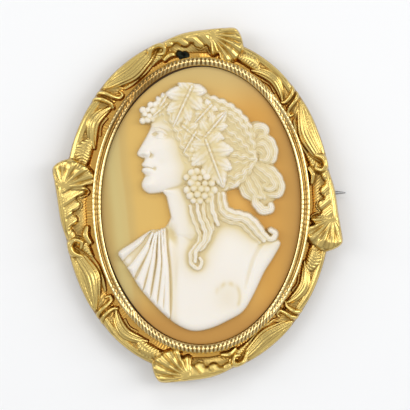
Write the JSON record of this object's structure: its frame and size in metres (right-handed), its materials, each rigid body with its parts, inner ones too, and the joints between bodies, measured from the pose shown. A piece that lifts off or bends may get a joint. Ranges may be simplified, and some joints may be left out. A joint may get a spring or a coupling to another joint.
{
  "type": "cameo brooch",
  "caption": "Oval brooch with a carved shell cameo of a classical bust in a milled collet, in a gilt border of leaves and branches, with a pin across its back.",
  "frame": {"origin": "centre of the bounding box in X and Y, at the lowest point of the back as the brooch lies face up", "axes": "+Z out of the carved face, +Y up along the long axis of the oval towards the crown of the bust, +X to the right as the face is looked at, along the pin towards its tip"},
  "size_m": [0.047, 0.0568, 0.0064],
  "materials": {
    "gilt": "worn antique gilding, dark in the recesses",
    "setting_gilt": "bright gilding, milled",
    "shell": "polished carved shell, orange ground with a white relief",
    "steel": "dull worn steel"
  },
  "bodies": {
    "root": {"border": "gilt", "collet": "setting_gilt", "cameo": "shell", "pin": "steel"}
  },
  "joints": []
}
